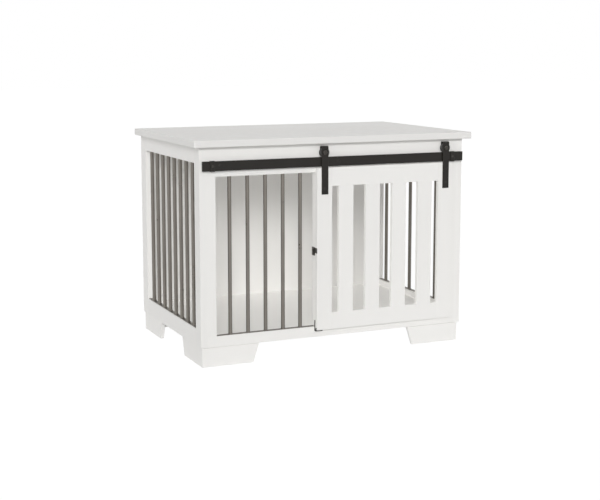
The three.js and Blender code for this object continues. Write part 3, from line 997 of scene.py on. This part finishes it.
wheel = {
    "bore": 3.25 * mm,
    "hub": 6 * mm,
    "web": 10.6 * mm,
    "dish": 0.7 * mm,  # the web's depth between the hub and the flange
    "slope": 0.4 * mm,
    "flangeHeight": 1.8 * mm,  # over the tread
    "treadHalf": 2.9 * mm,
    "flangeLean": 0.4 * mm,
    "rounding": 0.15 * mm,
    "flangeRounding": 0.9 * mm,
    "treadRounding": 0.4 * mm,
}


# A grooved wheel: its outline goes from the bore out over the hub, the web and the flange to the
# tread, and back on the other side
def addWheel(side):
    node = f"hanger_wheel_{side}"
    low, high = solidBox(node)
    half, flange = (high[1] - low[1]) / 2, (high[0] - low[0]) / 2
    tread, treadHalf, lean = flange - wheel["flangeHeight"], wheel["treadHalf"], wheel["flangeLean"]
    bore, hub, web, slope = wheel["bore"], wheel["hub"], wheel["web"], wheel["slope"]
    dish = half - wheel["dish"]
    front = [
        (bore, -half), (hub, -half), (hub + slope, -dish), (web, -dish), (web + slope, -half),
        (flange, -half), (flange, -treadHalf - lean), (tread, -treadHalf),
    ]
    outline = front + [(radius, -height) for radius, height in front[::-1]]
    radii = np.full(len(outline), wheel["rounding"])
    radii[[5, 10]] = wheel["flangeRounding"]
    radii[[6, 9]] = wheel["treadRounding"]
    shape = turnedPiece("y", (low + high) / 2, outline, radii, sides=72, steps=4)
    addPiece(f"{node}_finished", [shape], blackNylon, f"wheel_{side}", [node])


for sideName in ("left", "right"):
    addStrap(sideName)
    addAxle(sideName)
    addWheel(sideName)
print("hangers made")


latch = {
    "baseCorners": 1.5 * mm,
    "baseRim": 0.3 * mm,
    "screwPlaces": (-8.3 * mm, 8.8 * mm),  # above the base's middle
    "screwRadius": 1.9 * mm,
    "screwRise": 0.2 * mm,
    "recess": 0.5 * mm,
    "armThickness": 2.5 * mm,
    "armShorter": 3 * mm,  # than its solid, at the lower end
    "armCorners": 3.99 * mm,
    "armRim": 0.5 * mm,
    "pivotDrop": 4 * mm,  # below the arm's upper end
    "pinRadius": 1.5 * mm,
    "rivetRadius": 2.3 * mm,
    "rivetRise": 0.7 * mm,
    "rivetSink": 0.4 * mm,
    "rivetRounding": 0.35 * mm,
    "strikeCorners": 1.2 * mm,
    "strikeRim": 0.25 * mm,
}


def addLatchBase():
    low, high = solidBox("latch_base")
    plate = straightPiece("x", rectangle(low[1:], high[1:]), low[0], high[0],
                          latch["baseCorners"], latch["baseRim"], steps=4)
    middle = (low + high) / 2
    heads = [screwHead("x", (low[0], middle[1], middle[2] + place), latch["screwRadius"],
                       latch["screwRise"], latch["recess"]) for place in latch["screwPlaces"]]
    addBlackened("latch_base_finished", [plate, *heads], boltSteel, "cabinet", ["latch_base"])


# The arm turns on a pin that goes on into the stile, and the rivet is the pin's head
def addLatchArm():
    low, high = solidBox("latch_arm")
    thick = latch["armThickness"]
    section = rectangle((low[1], low[2] + latch["armShorter"]), (high[1], high[2]))
    arm = straightPiece("x", section, low[0], low[0] + thick,
                        latch["armCorners"], latch["armRim"], steps=8)
    pivot = (low[0], (low[1] + high[1]) / 2, high[2] - latch["pivotDrop"])
    outline = rectangle((0, thick / 2), (latch["pinRadius"], high[0] - low[0]))
    pin = turnedPiece("x", pivot, outline, 0, sides=24, steps=1)
    outline = rectangle((0, -latch["rivetRise"]), (latch["rivetRadius"], latch["rivetSink"]))
    rivet = turnedPiece("x", pivot, outline, latch["rivetRounding"], sides=32)
    addBlackened("latch_arm_finished", [arm, pin, rivet], boltSteel, "latch", ["latch_arm"])


def addLatchStrike():
    low, high = solidBox("latch_strike")
    strike = straightPiece("x", rectangle(low[1:], high[1:]), low[0], high[0],
                           latch["strikeCorners"], latch["strikeRim"], steps=3)
    addBlackened("latch_strike_finished", [strike], boltSteel, "door", ["latch_strike"])


guide = {"plate": 1.0 * mm, "fin": 2 * mm, "finHeight": 8 * mm, "rounding": 0.25 * mm}


# An angle on the sill, whose fin stands in the groove under the door
def addFloorGuide():
    low, high = solidBox("floor_guide")
    plateTop, finTop = low[2] + guide["plate"], low[2] + guide["plate"] + guide["finHeight"]
    finBack, legFront = low[1] + guide["fin"], high[1] - guide["plate"]
    corners = [
        (high[1], low[2]), (high[1], high[2]), (legFront, high[2]), (legFront, plateTop),
        (finBack, plateTop), (finBack, finTop), (low[1], finTop), (low[1], low[2]),
    ]
    shape = straightPiece("x", corners, low[0], high[0], guide["rounding"], guide["rounding"])
    addBlackened("floor_guide_finished", [shape], blackSteel, "cabinet", ["floor_guide"])


addLatchBase()
addLatchArm()
addLatchStrike()
addFloorGuide()
print("latch and floor guide made")


studio = {
    "floorSize": 40,
    "floorColour": (0.6, 0.6, 0.6, 1),
    "worldStrength": 0.06,
    "seenWhite": 0.95,  # the seen floor's own white, to which the lamps add the rest
    "seenColour": (0.11, 0.11, 0.11, 1),
}
white = (1, 1, 1, 1)


# The first shader for rays that light the object, and the second for what the camera sees, plain
# or in gloss or through glass
def splitRays(tree, lighting, seen, output):
    path = tree.nodes.new("ShaderNodeLightPath")
    share = mathNode(tree, "MAXIMUM", path.outputs["Is Camera Ray"], path.outputs["Is Glossy Ray"])
    share = mathNode(tree, "MAXIMUM", share, path.outputs["Is Transmission Ray"])
    mixed = tree.nodes.new("ShaderNodeMixShader")
    feed(tree, mixed.inputs, (share, lighting.outputs[0], seen.outputs[0]))
    tree.links.new(mixed.outputs[0], tree.nodes.new(output).inputs["Surface"])


# A pale floor that is seen as white, and still takes the object's shadow
def addFloor():
    half = studio["floorSize"] / 2
    mesh = bpy.data.meshes.new("studio_floor")
    corners = [(x, y, 0) for x, y in rectangle((-half, -half), (half, half))]
    mesh.from_pydata(corners, [], [(0, 1, 2, 3)])
    floor = bpy.data.objects.new("studio_floor", mesh)
    scene.collection.objects.link(floor)
    material = bpy.data.materials.new("studio_floor")
    material.use_nodes = True
    tree = material.node_tree
    tree.nodes.clear()
    plain = addNode(tree, "ShaderNodeBsdfDiffuse", Color=studio["floorColour"])
    glow = addNode(tree, "ShaderNodeEmission", Color=white, Strength=studio["seenWhite"])
    shaded = addNode(tree, "ShaderNodeBsdfDiffuse", Color=studio["seenColour"])
    both = tree.nodes.new("ShaderNodeAddShader")
    feed(tree, both.inputs, (glow.outputs[0], shaded.outputs[0]))
    splitRays(tree, plain, both, "ShaderNodeOutputMaterial")
    mesh.materials.append(material)


def setWorld():
    world = bpy.data.worlds.new("studio_world")
    scene.world = world
    world.use_nodes = True
    tree = world.node_tree
    tree.nodes.clear()
    light = addNode(tree, "ShaderNodeBackground", Color=white, Strength=studio["worldStrength"])
    seen = addNode(tree, "ShaderNodeBackground", Color=white, Strength=1)
    splitRays(tree, light, seen, "ShaderNodeOutputWorld")


# Far lamps, each with its turn to the left of the front and its height in degrees. A strength of 1
# alone would show a face turned to the lamp in its written colour.
lamps = {
    "key": {"turn": 23, "height": 19, "spread": 16, "strength": 0.487},
    "front": {"turn": -4, "height": 14, "spread": 70, "strength": 0.12},
    "left_soft": {"turn": 62, "height": 14, "spread": 70, "strength": 0.25, "gloss": False},
    "left_fill": {"turn": 62, "height": 12, "spread": 20, "strength": 0.23,
                  "shadow": False, "gloss": False},
    "top_fill": {"turn": 24, "height": 80, "spread": 20, "strength": 0.16, "shadow": False},
    "back": {"turn": 205, "height": 10, "spread": 30, "strength": 0.45, "gloss": False},
    "right": {"turn": -100, "height": 10, "spread": 30, "strength": 0.25, "gloss": False},
}


def addLamps():
    for name, values in lamps.items():
        data = bpy.data.lights.new(name, "SUN")
        data.energy = math.pi * values["strength"]
        data.angle = math.radians(values["spread"])
        data.use_shadow = values.get("shadow", True)
        lamp = bpy.data.objects.new(name, data)
        fromAbove = math.radians(90 - values["height"])
        lamp.rotation_euler = (fromAbove, 0, -math.radians(values["turn"]))
        lamp.visible_glossy = values.get("gloss", True)
        scene.collection.objects.link(lamp)


addFloor()
setWorld()
addLamps()
scene.view_settings.view_transform = "Standard"
print("studio made")
